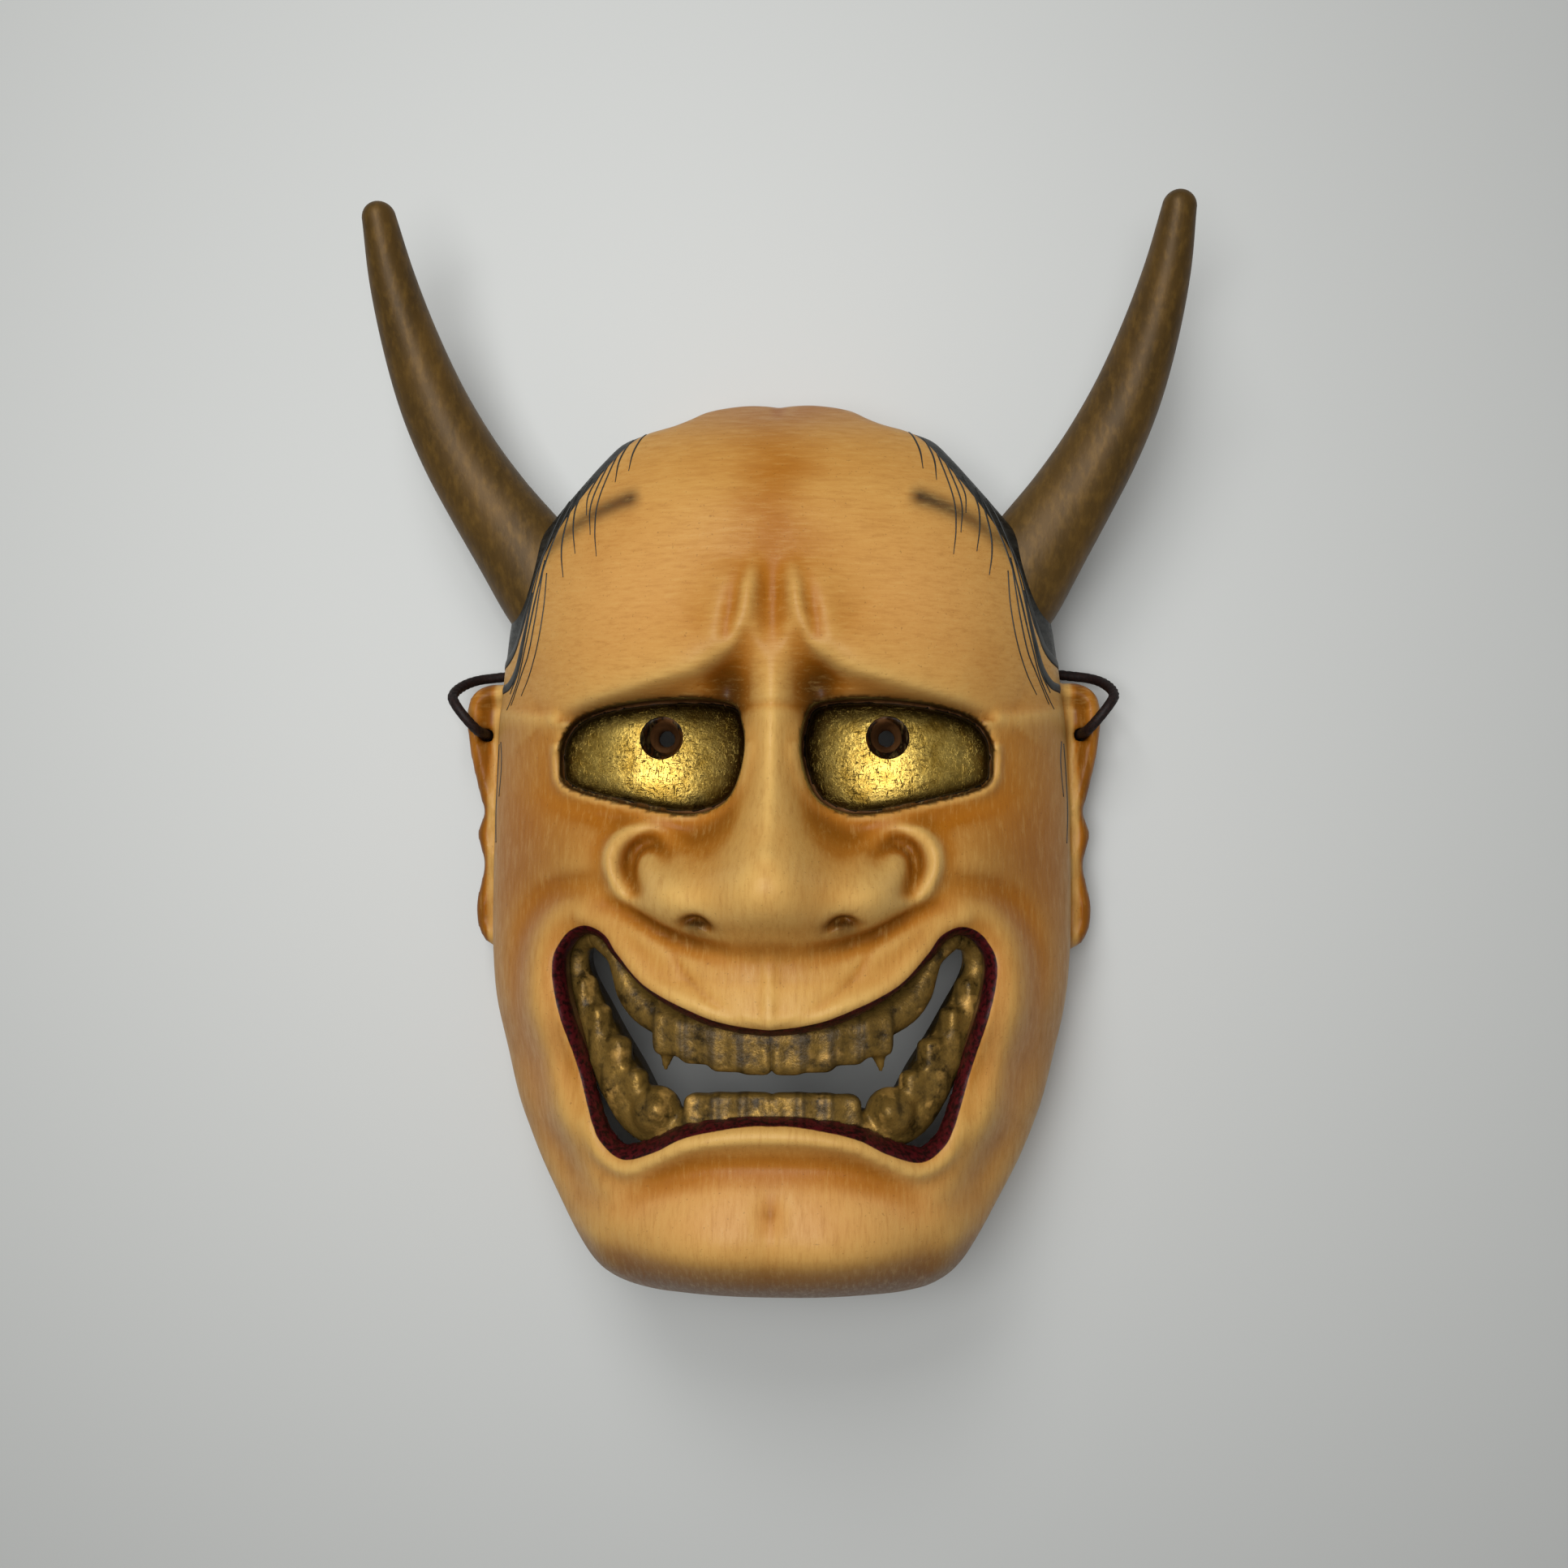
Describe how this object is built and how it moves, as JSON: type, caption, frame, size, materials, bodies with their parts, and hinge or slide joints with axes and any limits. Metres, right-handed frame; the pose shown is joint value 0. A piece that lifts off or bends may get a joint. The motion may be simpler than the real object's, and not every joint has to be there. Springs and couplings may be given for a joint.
{
  "type": "noh mask",
  "caption": "Carved and painted wooden demon mask with two horns, gilt eyes and teeth, and a coiled tie cord at each ear, lying face up on its rim.",
  "frame": {"origin": "on the surface that the rim rests on, under the middle of the mask with its horns", "axes": "+Z out of the face, away from the wearer; +Y from the chin towards the horn tips; +X to the right of someone looking at the face"},
  "size_m": [0.1864, 0.252, 0.0953],
  "materials": {
    "painted_wood": "aged ochre paint over white ground, satin",
    "horn_gilt": "dull worn gilding over dark lacquer",
    "bare_wood": "bare cypress",
    "gilt_metal": "dull gilding",
    "gilt_teeth": "worn gilding",
    "cord": "dark braided silk"
  },
  "bodies": {
    "root": {"mask_body": "painted_wood", "horn_left": "horn_gilt", "horn_right": "horn_gilt", "horn_peg_left": "bare_wood", "horn_peg_right": "bare_wood", "eye_left": "gilt_metal", "eye_right": "gilt_metal", "upper_teeth": "gilt_teeth", "lower_teeth": "gilt_teeth", "cord_left": "cord", "cord_right": "cord", "cord_coil_left": "cord", "cord_coil_right": "cord", "cord_knot_left": "cord", "cord_knot_right": "cord", "cord_end_left": "cord", "cord_end_right": "cord"}
  },
  "joints": []
}
